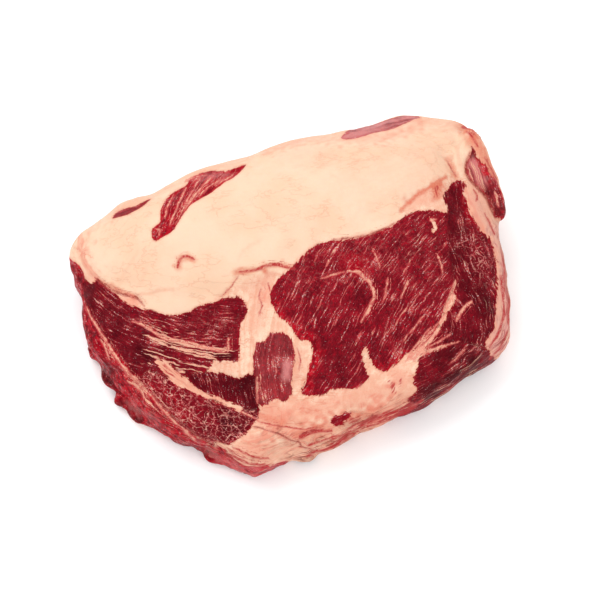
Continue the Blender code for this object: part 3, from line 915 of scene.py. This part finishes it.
    def lay_fat_fibres(self) -> None:
        """Gives the fat its own grain, along the nearest of its lines."""
        nearest = np.full(len(self.points), np.inf)
        along, across = np.zeros(len(self.points)), np.zeros(len(self.points))
        for number, line in enumerate(FAT_LINES):
            side, run = Path(line).measure(self.straight)
            closer = np.abs(side) < nearest
            nearest = np.where(closer, np.abs(side), nearest)
            along = np.where(closer, run * PIXEL_MM + self.apart[0] * number, along)
            across = np.where(closer, side * PIXEL_MM + self.drop, across)
        self.fields.update(fat_along=along, fat_across=across)
        self.fields["fold"] += 0.3 * self.steep

    def fill_hidden(self) -> None:
        """Finishes the back and the underside like what shows."""
        patches = self.rough((38, 38, 24), 3.1)
        blotches = self.rough((21, 21, 13), 6.9)
        # Lean below the cap's uneven edge and in a few holes in it, islands of fat underneath.
        flesh = (self.back_fat - self.height) * 0.9 + 14 * patches + 9 * blotches
        holes = 60 * (self.rough((60, 46, 20), 11.7) - 0.34)
        flesh = np.maximum(flesh, holes + 5 * blotches)
        islands = 60 * (0.3 - self.rough((30, 22, 30), 5.3))
        flesh = np.minimum(flesh, islands + 40 * (1 - self.under))
        # The grain runs along the back, and the marbling and stains come and go in patches.
        east, north = self.back_grain
        lengthwise = self.millimetres @ np.array([east, north, 0.0])
        crosswise = self.millimetres @ np.array([-north, east, 1.0])
        crosswise += 4 * patches + 3 * blotches
        hidden: dict[str, Any] = {
            "marble": 0.5 + 0.9 * blotches,
            "web": 0.3 - 1.4 * blotches,
            "strand": 0.1 + 0.9 * patches,
            "cap": 0.75 * ease(18, 34, self.height + 12 * patches) * (1 - self.under),
            "dark_and_shade": 0.35 + 1.3 * blotches,
            "wet": 0.3 - 0.9 * blotches,
            "veil": 0.05 + 1.1 * patches,
            "film": 0.9 * patches - 0.05,
            "blush": 0.4 + 0.8 * patches,
            "blood": 0.08,
            "rust_and_shadow": 0.08,
            "fold": 0.35,
            **dict.fromkeys(("swell", "vein_width", "thread_width", "crease_width"), 0.0),
        }
        clear = np.clip(flesh, -self.reach, self.reach)
        self.flesh = self.flesh * (1 - self.hidden) + clear * self.hidden
        for name, values in hidden.items():
            self.fields[name] = self.fields[name] * (1 - self.hidden) + values * self.hidden
        # What follows the grain fades out where one grain meets the other.
        for name in ("fold", "film", "marble", "strand"):
            self.fields[name] *= np.abs(2 * self.hidden - 1)
        for name, values in (("along", lengthwise), ("across", crosswise)):
            for full in (name, "fat_" + name):
                self.fields[full] = np.where(self.hidden > 0.5, values, self.fields[full])

    def relief(self) -> np.ndarray:
        """Works out the fine relief.

        Returns:
            How far each point is raised, in mm.
        """
        fields = self.fields
        grain = np.stack([fields["along"], fields["across"]], -1)
        fibres = np.stack([fields["fat_along"], fields["fat_across"]], -1)
        lean = ease(-0.6, 0.8, fields["lean"])
        wet = np.clip(fields["wet"], 0, 1) * lean
        fold = np.clip(fields["fold"], 0, 1) * (1 - lean)
        strands = rough_field(grain, (13, 3.4), 7.7)
        lumps = self.rough((6, 6, 5), 1.9)
        swells = self.rough((15, 15, 12), 4.3)
        folds = 1 - np.abs(rough_field(fibres, (24, 4.2), 9.1)) * 3
        height = fields["swell"] + lean * (0.42 * strands + 0.3 * swells + 0.15 * lumps)
        height += wet * (1.0 * lumps + 0.8 * swells)
        height += (1 - lean) * (0.3 * swells + 0.25 + 0.08 * lumps) + fold * 0.45 * folds
        for crease in CREASES:
            path = Path(crease.path)
            chosen = path.within(self.pixels, 4 * crease.half_width) & (self.hidden < 0.5)
            distance = path.measure(self.pixels[chosen])[0] / (1.4 * crease.half_width)
            height[chosen] -= crease.deep * np.exp(-0.5 * distance**2)
        return height


# ------------------------------------------------------------------------------ the mesh


@dataclass
class RoastForm:
    """The roast's visible surface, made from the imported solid."""

    node: bpy.types.Object
    name: str = "raw_roast"
    weld: float = 0.001  # mm
    grain: float = 1.26  # mm, the side of a face
    rounds: int = 16
    share: float = 0.5  # how far a point moves to its neighbours' middle
    back: float = -0.52  # and how far back, so that nothing shrinks
    foot: float = 0.7  # mm, what lies lower stays flat
    body: bpy.types.Object = field(init=False)

    def build(self) -> bpy.types.Object:
        """Copies the solid, evens its mesh and smooths the facets away.

        Returns:
            The smooth body.
        """
        self.ground = float(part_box(self.node.name)[0][2])
        mesh = self.node.data.copy()
        work = bmesh.new()
        work.from_mesh(mesh)
        bmesh.ops.remove_doubles(work, verts=work.verts, dist=self.weld * MM)
        work.to_mesh(mesh)
        work.free()
        rough = bpy.data.objects.new(self.name + "_rough", mesh)
        bpy.context.scene.collection.objects.link(rough)
        remesh = rough.modifiers.new("even", "REMESH")
        remesh.mode = "VOXEL"
        remesh.voxel_size = self.grain * MM
        graph = bpy.context.evaluated_depsgraph_get()
        fine = bpy.data.meshes.new_from_object(rough.evaluated_get(graph))
        bpy.data.objects.remove(rough)
        fine.materials.clear()
        self.body = bpy.data.objects.new(self.name, fine)
        bpy.context.scene.collection.objects.link(self.body)
        self.place(self.relax(self.points()))
        return self.body

    @staticmethod
    def read(items: Any, name: str) -> np.ndarray:
        """Reads a property of three numbers.

        Args:
            items: a mesh's points or normals.
            name: the property.

        Returns:
            The numbers, one item a row.
        """
        flat = np.empty(len(items) * 3, np.float32)
        items.foreach_get(name, flat)
        return flat.reshape(-1, 3).astype(float)

    def points(self) -> np.ndarray:
        """The mesh's points, one a row."""
        return self.read(self.body.data.vertices, "co")

    def normals(self) -> np.ndarray:
        """The surface's direction at each point."""
        return self.read(self.body.data.vertex_normals, "vector")

    def relax(self, points: np.ndarray) -> np.ndarray:
        """Smooths points without shrinking the form.

        Args:
            points: the mesh's points, one a row.

        Returns:
            The smoothed points.
        """
        edges = np.empty(len(self.body.data.edges) * 2, np.int32)
        self.body.data.edges.foreach_get("vertices", edges)
        ends = edges.reshape(-1, 2)
        tails = np.concatenate([ends[:, 0], ends[:, 1]])
        heads = np.concatenate([ends[:, 1], ends[:, 0]])
        count = len(points)
        degree = np.bincount(tails, minlength=count)[:, None]
        for _ in range(self.rounds):
            for amount in (self.share, self.back):
                total = [np.bincount(tails, points[heads, axis], count) for axis in range(3)]
                points = points + amount * (np.stack(total, -1) / degree - points)
        return points

    def place(self, points: np.ndarray) -> None:
        """Moves the mesh's points and keeps the foot flat on the ground.

        Args:
            points: the new points, one a row.
        """
        flat = points[:, 2] < self.ground + self.foot * MM
        points[flat, 2] = self.ground
        self.body.data.vertices.foreach_set("co", points.astype(np.float32).ravel())
        self.body.data.update()
        self.body.data.shade_smooth()

    def raise_by(self, heights: np.ndarray) -> None:
        """Moves each point along its normal by its height in mm."""
        self.place(self.points() + self.normals() * heights[:, None] * MM)

    def store(self, fields: dict[str, np.ndarray]) -> None:
        """Keeps the fields as attributes of the mesh.

        Args:
            fields: one number for each point, under the attribute's name.
        """
        for name, values in fields.items():
            attribute = self.body.data.attributes.new(name, "FLOAT", "POINT")
            attribute.data.foreach_set("value", values.astype(np.float32))


# --------------------------------------------------------------------------- the shaders


Value = Union["Wire", float]


@dataclass(frozen=True)
class Wire:
    """A number in a shader that can be reckoned with like a plain one."""

    graph: "Graph"
    socket: bpy.types.NodeSocket

    def math(self, operation: str, *values: Value) -> "Wire":
        """Adds a Math node with the values as its inputs in order."""
        inputs = dict(enumerate(values))
        return self.graph.node("ShaderNodeMath", {"operation": operation}, inputs)

    def __add__(self, other: Value) -> "Wire":
        """This plus the other."""
        return self.math("ADD", self, other)

    __radd__ = __add__

    def __sub__(self, other: Value) -> "Wire":
        """This less the other."""
        return self.math("SUBTRACT", self, other)

    def __rsub__(self, other: Value) -> "Wire":
        """The other less this."""
        return self.math("SUBTRACT", other, self)

    def __mul__(self, other: Value) -> "Wire":
        """This times the other."""
        return self.math("MULTIPLY", self, other)

    __rmul__ = __mul__

    def __truediv__(self, other: Value) -> "Wire":
        """This over the other."""
        return self.math("DIVIDE", self, other)

    def __abs__(self) -> "Wire":
        """This without its sign."""
        return self.math("ABSOLUTE", self)

    def clamp(self) -> "Wire":
        """This, kept between 0 and 1."""
        return self.graph.node("ShaderNodeClamp", {}, {"Value": self})

    def highest(self, other: Value) -> "Wire":
        """The greater of this and the other."""
        return self.math("MAXIMUM", self, other)

    def rise(self, low: Value, high: Value) -> "Wire":
        """Goes smoothly from 0 at low to 1 at high.

        Args:
            low: where it is 0.
            high: where it is 1.

        Returns:
            The eased number.
        """
        settings = {"interpolation_type": "SMOOTHSTEP"}
        inputs = {"Value": self, "From Min": low, "From Max": high}
        return self.graph.node("ShaderNodeMapRange", settings, inputs)


@dataclass(frozen=True)
class Grain:
    """Noise that is drawn out along the grain of the lean or of the fat."""

    squeeze: float  # how much a length along the grain counts
    size: float  # mm across the grain
    layer: float  # another number picks another pattern
    detail: float = 1.5
    roughness: float = 0.5


FRAYED_EDGE = Grain(0.2, 1.1, 0.0, 3.0, 0.65)
COMBED_EDGE = Grain(0.14, 1.0, 4.0, 2.0, 0.6)
LEAN_FIBRE = Grain(0.12, 0.55, 0.0, 3.0, 0.65)
LEAN_DASH = Grain(0.15, 0.7, 3.0, 2.0, 0.6)
LEAN_STREAK = Grain(0.08, 0.95, 13.0)
LEAN_LINE = Grain(0.06, 1.7, 7.0, 1.0)
LEAN_STRAND = Grain(0.03, 1.2, 11.0)
FAT_FIBRE = Grain(0.09, 1.3, 5.0, 2.5, 0.6)
FAT_BAND = Grain(0.045, 3.4, 9.0, 2.5, 0.6)
NET_MESHES = ((6.6, 0.065), (4.1, 0.045))  # the width of a mesh in mm, and how thick the net is


class Graph:
    """A material's node tree and the few ways in which nodes are added to it."""

    def __init__(self, name: str) -> None:
        """Starts an empty material.

        Args:
            name: the material's name.
        """
        self.material = bpy.data.materials.new(name)
        self.material.use_nodes = True
        self.tree = self.material.node_tree
        self.tree.nodes.clear()

    def node(
        self,
        kind: str,
        settings: Optional[dict[str, Any]] = None,
        inputs: Optional[dict[Any, Any]] = None,
        output: Union[int, str, None] = 0,
    ) -> Optional[Wire]:
        """Adds a node.

        Args:
            kind: the node's type.
            settings: its settings, made before the inputs.
            inputs: a number, colour or Wire for each input's name or place.
            output: the output that is wanted, or None.

        Returns:
            That output.
        """
        made = self.tree.nodes.new(kind)
        for name, value in (settings or {}).items():
            setattr(made, name, value)
        for key, value in (inputs or {}).items():
            if isinstance(value, Wire):
                self.tree.links.new(value.socket, made.inputs[key])
            else:
                made.inputs[key].default_value = value
        return None if output is None else Wire(self, made.outputs[output])

    def field(self, name: str) -> Wire:
        """Reads the mesh's attribute of that name."""
        return self.node("ShaderNodeAttribute", {"attribute_name": name}, {}, "Fac")

    def vector(self, x: Value, y: Value, z: Value) -> Wire:
        """Joins three numbers."""
        return self.node("ShaderNodeCombineXYZ", {}, {0: x, 1: y, 2: z})

    def place(self) -> Wire:
        """Reads the place on the object.

        Returns:
            The place in mm.
        """
        spot = self.node("ShaderNodeTexCoord", {}, {}, "Object")
        inputs = {0: spot, "Scale": 1 / MM}
        return self.node("ShaderNodeVectorMath", {"operation": "SCALE"}, inputs)

    def noise(
        self, spot: Wire, size: float, detail: float = 2.0, roughness: float = 0.5
    ) -> Wire:
        """Adds noise around 0.5 with bumps of a size in mm, and finer layers of detail."""
        inputs = {"Vector": spot, "Scale": 1 / size, "Detail": detail, "Roughness": roughness}
        return self.node("ShaderNodeTexNoise", {}, inputs)

    def mix(self, share: Value, under: Any, over: Any) -> Wire:
        """Lays a share of the second colour over the first."""
        inputs = {0: share, 6: under, 7: over}
        return self.node("ShaderNodeMix", {"data_type": "RGBA"}, inputs, 2)

    def layers(self, under: Any, *layers: tuple[Value, Any]) -> Wire:
        """Lays colours over one another.

        Args:
            under: the lowest colour.
            layers: the share and the colour of each layer, from below up.

        Returns:
            What they show together.
        """
        for share, over in layers:
            under = self.mix(share, under, over)
        return under

    def drawn(self, along: Wire, across: Wire, grain: Grain) -> Wire:
        """Adds noise that is drawn out along the grain."""
        spot = self.vector(along * grain.squeeze, across, grain.layer)
        return self.noise(spot, grain.size, grain.detail, grain.roughness)

    def bump(self, height: Wire, distance: float, strength: float) -> Wire:
        """Turns heights of 0 to 1, where 1 stands for a distance, into a bumped normal."""
        inputs = {"Height": height, "Distance": distance, "Strength": strength}
        return self.node("ShaderNodeBump", {}, inputs)

    def finish(self, inputs: dict[Any, Any]) -> bpy.types.Material:
        """Adds the surface and the output.

        Args:
            inputs: what feeds the surface.

        Returns:
            The finished material.
        """
        surface = self.node("ShaderNodeBsdfPrincipled", {}, inputs)
        self.node("ShaderNodeOutputMaterial", {}, {"Surface": surface}, None)
        return self.material


@dataclass(frozen=True)
class RawMeatFinish:
    """Raw beef: lean with grain and marbling, fat with fibres and stains, with painted shade and
    painted glints.
    """

    name: str = "raw_meat"
    deep: Colour = seen(92, 8, 20)
    # Dark lean, also the colour of the painted shade.
    red: Colour = seen(170, 28, 44)
    dark_and_shade: Colour = seen(56, 5, 12)
    bright: Colour = seen(212, 16, 38)
    veil: Colour = seen(230, 146, 142)
    streak: Colour = seen(218, 92, 90)
    web: Colour = seen(232, 128, 124)
    tallow: Colour = seen(244, 176, 158)
    pale: Colour = seen(246, 186, 158)
    # The pale pink-white of the painted glints, painted highlights on the wet lean.
    painted_glint: Colour = seen(250, 226, 220)
    cream: Colour = seen(253, 219, 191)
    butter: Colour = seen(250, 206, 174)
    rose: Colour = seen(242, 184, 156)
    pink: Colour = seen(236, 146, 122)
    blood: Colour = seen(184, 40, 48)
    gore: Colour = seen(204, 92, 88)
    rust_and_shadow: Colour = seen(222, 108, 80)
    film: Colour = seen(212, 148, 152)
    # The painted shade of the creases and of the fat's furrows and folds.
    crease: Colour = seen(144, 54, 44)

    def make(self) -> bpy.types.Material:
        """Builds the material.

        Returns:
            The material.
        """
        g = Graph(self.name)
        place = g.place()
        patch = g.noise(place, 9.0)
        fine = g.noise(place, 0.8, 2.0, 0.6)
        lean_colour, marbling, lean_height = self.lean(g, place, patch, fine)
        fat_colour, fat_height = self.fat(g, place, patch, fine)
        fray = g.drawn(g.field("along"), g.field("across"), FRAYED_EDGE) - 0.5
        comb = g.drawn(g.field("fat_along"), g.field("fat_across"), COMBED_EDGE) - 0.5
        ragged = g.noise(place, 2.4, 4.0, 0.65) - 0.5
        torn = fray * 3.0 + comb * 3.0 + ragged * 2.6
        edge = g.field("lean") + torn * (1 - g.field("cap").clamp() * 0.65)
        flesh = edge.rise(-0.2, 0.25)
        rim = 1 - abs(edge).rise(0.0, 1.5)
        fat_colour = g.mix(rim * 0.4, fat_colour, self.pink)
        lean_colour = g.mix(rim * 0.3, lean_colour, self.bright)
        colour = self.thin_lines(g, g.mix(flesh, fat_colour, lean_colour), place, fine, fray)
        wet = g.field("wet").clamp() * flesh
        rough = 0.52 - flesh * 0.12 - wet * 0.14 + (patch - 0.5) * 0.2 + marbling * flesh * 0.08
        height = lean_height * flesh + fat_height * (1 - flesh) + flesh * 0.15
        shine = g.noise(place, 1.4, 1.5, 0.5).rise(0.56, 0.68)
        return g.finish(
            {
                "Base Color": colour,
                "Roughness": rough,
                "IOR": 1.4,
                "Specular IOR Level": 0.025,
                "Subsurface Weight": 0.1,
                "Subsurface Radius": (1.0, 0.35, 0.22),
                "Subsurface Scale": 0.0012,
                "Coat Weight": shine * (flesh * 0.16 + wet * 0.08 + 0.04),
                "Coat Roughness": 0.16,
                "Normal": g.bump(height, 0.0011, 0.8),
            }
        )

    def lean(self, g: Graph, place: Wire, patch: Wire, fine: Wire) -> tuple[Wire, Wire, Wire]:
        """Builds the lean: fibres, streaks, net, darker parts with painted shade, wet parts, silverskin
        and painted glints.

        Args:
            g: the material's graph.
            place: the place in mm.
            patch: wide soft noise.
            fine: fine noise.

        Returns:
            The colour, how much marbling there is, and the height.
        """
        broken = g.noise(place, 2.6)
        lump = g.noise(place, 3.4, 2.5, 0.6)
        mottle = g.noise(place, 1.7, 3.0, 0.7)
        sway = (g.noise(place, 6.0, 1.0) - 0.5) * 2.4 + (broken - 0.5) * 0.9
        along = g.field("along")
        across = g.field("across") + sway
        fibre = g.drawn(along, across, LEAN_FIBRE)
        dash = g.drawn(along, across, LEAN_DASH)
        streak = g.drawn(along, across, LEAN_STREAK)
        line = g.drawn(along, across, LEAN_LINE)
        strand = g.drawn(along, across, LEAN_STRAND)
        marble = g.field("marble").highest(0.0)
        wet = g.field("wet").clamp()
        dark_and_shade = g.field("dark_and_shade").clamp()
        veil = g.field("veil") * (patch * 1.2 + fine * 0.4 + line.rise(0.35, 0.6) * 0.6 - 0.3)
        veil = veil.clamp()
        tone = fibre.rise(0.3, 0.7) * 0.6 + fine.rise(0.3, 0.7) * 0.15 + patch.rise(0.3, 0.7) * 0.35
        glow = (wet * (line.rise(0.3, 0.6) * 0.9 + 0.2)).clamp()
        clump = wet * (lump * 0.75 + mottle * 0.3).rise(0.56, 0.64) * line.rise(0.38, 0.5)
        colour = g.layers(
            self.deep,
            ((tone - 0.1).clamp(), self.red),
            (glow * 0.85, self.bright),
            (wet * (1 - lump.rise(0.4, 0.5)) * 0.72, self.deep),
            # Darker, dried lean and painted shade in recesses and under edges.
            (dark_and_shade * (1.2 - patch * 0.6).clamp() * 0.8, self.dark_and_shade),
            (mottle.rise(0.5, 0.66) * 0.45, self.deep),
            ((1 - mottle).rise(0.54, 0.7) * (1 - dark_and_shade) * 0.5, self.bright),
            (veil * 0.8, self.veil),
            (clump * 0.28, g.mix(fine.rise(0.46, 0.6), self.streak, self.veil)),
        )
        start = 0.72 - marble * 0.1 - (patch - 0.5) * 0.45
        skirt = streak.rise(start - 0.1, start + 0.02).highest(dash.rise(start, start + 0.08))
        core = streak.rise(start - 0.02, start + 0.05) * dash.rise(0.4, 0.6)
        core = core.highest(dash.rise(start + 0.06, start + 0.12))
        many = g.field("strand").clamp()
        first = 0.66 - many * 0.17
        strands = strand.rise(first, first + 0.06) * many.rise(0.02, 0.3)
        net = self.net(g, along, across, broken, fine) * g.field("web").clamp()
        # Painted highlights: pale specks on the streaks and clumps, and a few on their own, stand in
        # for glints of light.
        speck = g.noise(place, 0.7, 1.0)
        painted_glints = speck.rise(0.58, 0.68) * skirt.highest(clump)
        painted_glints = painted_glints.highest(speck.rise(0.72, 0.78) * 0.5)
        tint = g.mix(broken.rise(0.42, 0.7), self.streak, self.pale)
        colour = g.layers(
            colour,
            (skirt * (1 - dark_and_shade * 0.4) * (1 - veil * 0.6) * 0.4, self.streak),
            (core * (0.85 - dark_and_shade * 0.25 - veil * 0.3), tint),
            (net * 0.9, g.mix(broken.rise(0.5, 0.62), self.web, self.tallow)),
            (strands * 0.9, g.mix(fine.rise(0.25, 0.5), self.streak, self.pale)),
            (painted_glints * 0.6, self.painted_glint),
        )
        marbling = core.highest(strands).highest(net).clamp()
        return colour, marbling, fibre * 0.26 + dash * 0.3 + fine * 0.2 + marbling * 0.14

    def net(self, g: Graph, along: Wire, across: Wire, broken: Wire, fine: Wire) -> Wire:
        """Builds an uneven net of fat, with meshes drawn out along the grain.

        Args:
            g: the material's graph.
            along: the place along the grain, in mm.
            across: the place across it.
            broken: noise that breaks and bends the net.
            fine: fine noise.

        Returns:
            1 on the net and 0 between.
        """
        warp = (broken - 0.5) * 2.2 + (fine - 0.5) * 0.8
        net: Value = 0.0
        for mesh, thick in NET_MESHES:
            spot = g.vector(along * 0.9 + warp, across - warp, mesh)
            cells = g.node(
                "ShaderNodeTexVoronoi",
                {"feature": "DISTANCE_TO_EDGE"},
                {"Vector": spot, "Scale": 1 / mesh},
                "Distance",
            )
            share = broken.rise(0.34, 0.58) * thick
            net = (1 - cells.rise(share * 0.3, share)).highest(net)
        return net * fine.rise(0.34, 0.54)

    def fat(self, g: Graph, place: Wire, patch: Wire, fine: Wire) -> tuple[Wire, Wire]:
        """Builds the fat: cream cap, pinker seams, stains, fibres and folds, with painted shade in the
        folds and furrows.

        Args:
            g: the material's graph.
            place: the place in mm.
            patch: wide soft noise.
            fine: fine noise.

        Returns:
            The colour and the height.
        """
        middle = g.noise(place, 4.0, 3.0, 0.6)
        sway = (g.noise(place, 8.0, 1.0) - 0.5) * 3.6 + (middle - 0.5) * 1.0
        along, across = g.field("fat_along"), g.field("fat_across") + sway
        fibre = g.drawn(along, across, FAT_FIBRE)
        band = g.drawn(along, across, FAT_BAND)
        fold = g.field("fold").clamp()
        lined = ((g.field("fold") - 0.5) * 1.4).clamp()
        # Painted shade in the furrows between the fibres of the folds.
        shaded_furrow = (1 - abs(fibre - 0.5).rise(0.0, 0.05)) * patch.rise(0.4, 0.6) * fold
        wide = g.noise(place, 26.0)
        cap = g.field("cap").clamp()
        drawn = middle * 0.4 + band * 0.6
        turned = {"Vector": place, "Rotation": (0.0, 0.0, -0.5), "Scale": (0.4, 1.0, 1.0)}
        crinkle = g.noise(g.node("ShaderNodeMapping", {}, turned), 7.0, 3.0, 0.6)
        crinkles = (1 - abs(crinkle - 0.5).rise(0.0, 0.022)) * wide.rise(0.42, 0.6)
        blush = g.field("blush").clamp() * (drawn * 3.0 - 0.75) + (band.rise(0.4, 0.65) - 0.4) * fold
        film = (g.field("film") * (band * 1.4 + fine * 0.4 - 0.3)).clamp()
        # Orange-brown stains, and the painted shadow under the cap's torn edge.
        stain_and_shadow = (g.field("rust_and_shadow") * (0.35 + middle + (fine - 0.5) * 0.8)).clamp()
        torn = fibre.rise(0.38, 0.62) * 0.8 + band * 0.5 + middle * 0.3
        blood = (g.field("blood").clamp() * torn).rise(0.35, 0.95)
        cream = g.mix(wide.rise(0.35, 0.7) * 0.7 + middle * 0.3, self.cream, self.butter)
        colour = g.layers(
            self.rose,
            (drawn.rise(0.38, 0.62), self.cream),
            (fine.rise(0.45, 0.7) * 0.3, self.pink),
            (cap, cream),
            (crinkles * (0.45 - cap * 0.28), self.rust_and_shadow),
            (blush.clamp() * 0.85, self.pink),
            (fibre.rise(0.55, 0.68) * fold * 0.4, self.pale),
            (film * 0.9, self.film),
            (stain_and_shadow * 0.75, self.rust_and_shadow),
            (blood * 0.85, g.mix(fine.rise(0.4, 0.7), self.blood, self.gore)),
            # Painted shade: dark lines along the folds and in the furrows.
            (fibre.rise(0.5, 0.6) * band.rise(0.35, 0.55) * lined, self.crease),
            (shaded_furrow * (0.3 + lined * 0.5), self.crease),
        )
        height = fine * 0.06 + middle * 0.24 + fibre * fold * 0.5
        return colour, height - shaded_furrow * 0.14 - crinkles * 0.12

    def thin_lines(self, g: Graph, colour: Wire, place: Wire, fine: Wire, fray: Wire) -> Wire:
        """Lays the thin seams, the threads and the creases' lines of painted shade over the rest.

        Args:
            g: the material's graph.
            colour: what lies under them.
            place: the place in mm.
            fine: fine noise.
            fray: noise drawn out along the grain, around 0.

        Returns:
            The colour with them.
        """
        uneven = g.noise(place, 3.4, 2.5, 0.55)
        wobble = (fine - 0.5) * 0.6 + (uneven - 0.5) * 1.6
        lines = (
            ("vein", self.streak, 0.65, self.pale, 0.85, 2.6),
            ("thread", self.gore, 0.4, self.blood, 0.9, 1.6),
            # The creases' lines are painted shade, with a soft red halo.
            ("crease", self.gore, 0.4, self.crease, 0.7, 1.0),
        )
        for name, outer, haze, inner, strength, frayed in lines:
            width = g.field(name + "_width")
            side = abs(g.field(name + "_side") + wobble) + fray * frayed
            there = width * (0.35 + uneven * 1.3) - side
            known = width.rise(0.05, 0.3)
            whole = (fine * 0.6 + uneven * 0.5 + fray * 0.7).rise(0.44, 0.62) * 0.8 + 0.2
            colour = g.layers(
                colour,
                (there.rise(-0.8, 0.1) * known * haze, outer),
                (there.rise(-0.15, 0.35) * known * whole * strength, inner),
            )
        return colour


@dataclass(frozen=True)
class FloorFinish:
    """A plain pale matt floor."""

    name: str = "pale_floor"
    light: Colour = (0.96, 0.96, 0.965, 1.0)
    shade: Colour = (0.95, 0.95, 0.95, 1.0)

    def make(self) -> bpy.types.Material:
        """Builds the material.

        Returns:
            The material.
        """
        g = Graph(self.name)
        place = g.place()
        cloud = g.noise(place, 40.0, 3.0)
        return g.finish(
            {
                "Base Color": g.mix(cloud, self.light, self.shade),
                "Roughness": 0.7 + (cloud - 0.5) * 0.1,
                "Specular IOR Level": 0.2,
                "Normal": g.bump(g.noise(place, 1.5), 0.0002, 0.2),
            }
        )


# ---------------------------------------------------------------------------- the studio


@dataclass(frozen=True)
class SoftLight:
    """A square soft light that points at the roast."""

    name: str
    place: tuple[float, float, float]
    side: float
    watts: float

    def add(self) -> None:
        """Puts the light in the scene."""
        data = bpy.data.lights.new(self.name, "AREA")
        data.shape, data.size, data.energy = "SQUARE", self.side, self.watts
        lamp = bpy.data.objects.new(self.name, data)
        lamp.location = self.place
        lamp.rotation_euler = (-Vector(self.place)).to_track_quat("-Z", "Y").to_euler()
        bpy.context.scene.collection.objects.link(lamp)


@dataclass(frozen=True)
class Studio:
    """A pale floor, a white surround, a key light at the back left and a fill at the front."""

    floor_side: float = 8.0
    surround: Colour = (1.0, 1.0, 1.0, 1.0)
    surround_strength: float = 1.08
    lights: tuple[SoftLight, ...] = (
        SoftLight("key_light", (-0.8, 0.75, 1.7), 1.3, 17.0),
        SoftLight("front_fill", (0.8, -1.2, 1.4), 1.4, 9.0),
    )

    def build(self, view: PhotoView, ground: float) -> None:
        """Builds the floor, light and camera.

        Args:
            view: the photograph's view.
            ground: the height that the roast stands on.
        """
        self.add_floor(ground)
        world = bpy.data.worlds.new("white_surround")
        world.use_nodes = True
        background = world.node_tree.nodes["Background"]
        background.inputs["Color"].default_value = self.surround
        background.inputs["Strength"].default_value = self.surround_strength
        bpy.context.scene.world = world
        for light in self.lights:
            light.add()
        view.add_camera()
        bpy.context.scene.view_settings.view_transform = "Standard"

    def add_floor(self, ground: float) -> None:
        """Adds the floor.

        Args:
            ground: its height.
        """
        half = self.floor_side / 2
        corners = [(x * half, y * half, ground) for x, y in ((-1, -1), (1, -1), (1, 1), (-1, 1))]
        mesh = bpy.data.meshes.new("floor")
        mesh.from_pydata(corners, [], [(0, 1, 2, 3)])
        mesh.materials.append(FloorFinish().make())
        floor = bpy.data.objects.new("floor", mesh)
        bpy.context.scene.collection.objects.link(floor)
        floor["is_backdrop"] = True


@dataclass
class Roast:
    """The whole piece of meat: its form, its relief and its finish."""

    node: bpy.types.Object
    view: PhotoView
    finish: RawMeatFinish = RawMeatFinish()

    def build(self) -> bpy.types.Object:
        """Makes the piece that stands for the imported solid.

        Returns:
            The piece.
        """
        form = RoastForm(self.node)
        body = form.build()
        anatomy = Anatomy(self.view, form.points(), form.normals())
        fields = anatomy.work_out()
        form.raise_by(anatomy.relief())
        form.store({name: values for name, values in fields.items() if name != "swell"})
        body.data.materials.append(self.finish.make())
        counts = len(body.data.vertices), len(body.data.polygons)
        LOG.info("%s: %d points, %d faces", body.name, *counts)
        return body


def main() -> None:
    """Builds the roast and the studio."""
    logging.basicConfig(level=logging.INFO, format="%(message)s")
    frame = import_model()
    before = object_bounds()
    view = PhotoView()
    body = Roast(frame["nodes"]["roast"], view).build()
    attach(body, "root")
    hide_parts("roast")
    Studio().build(view, before[0][2])


if __name__ == "__main__":
    main()
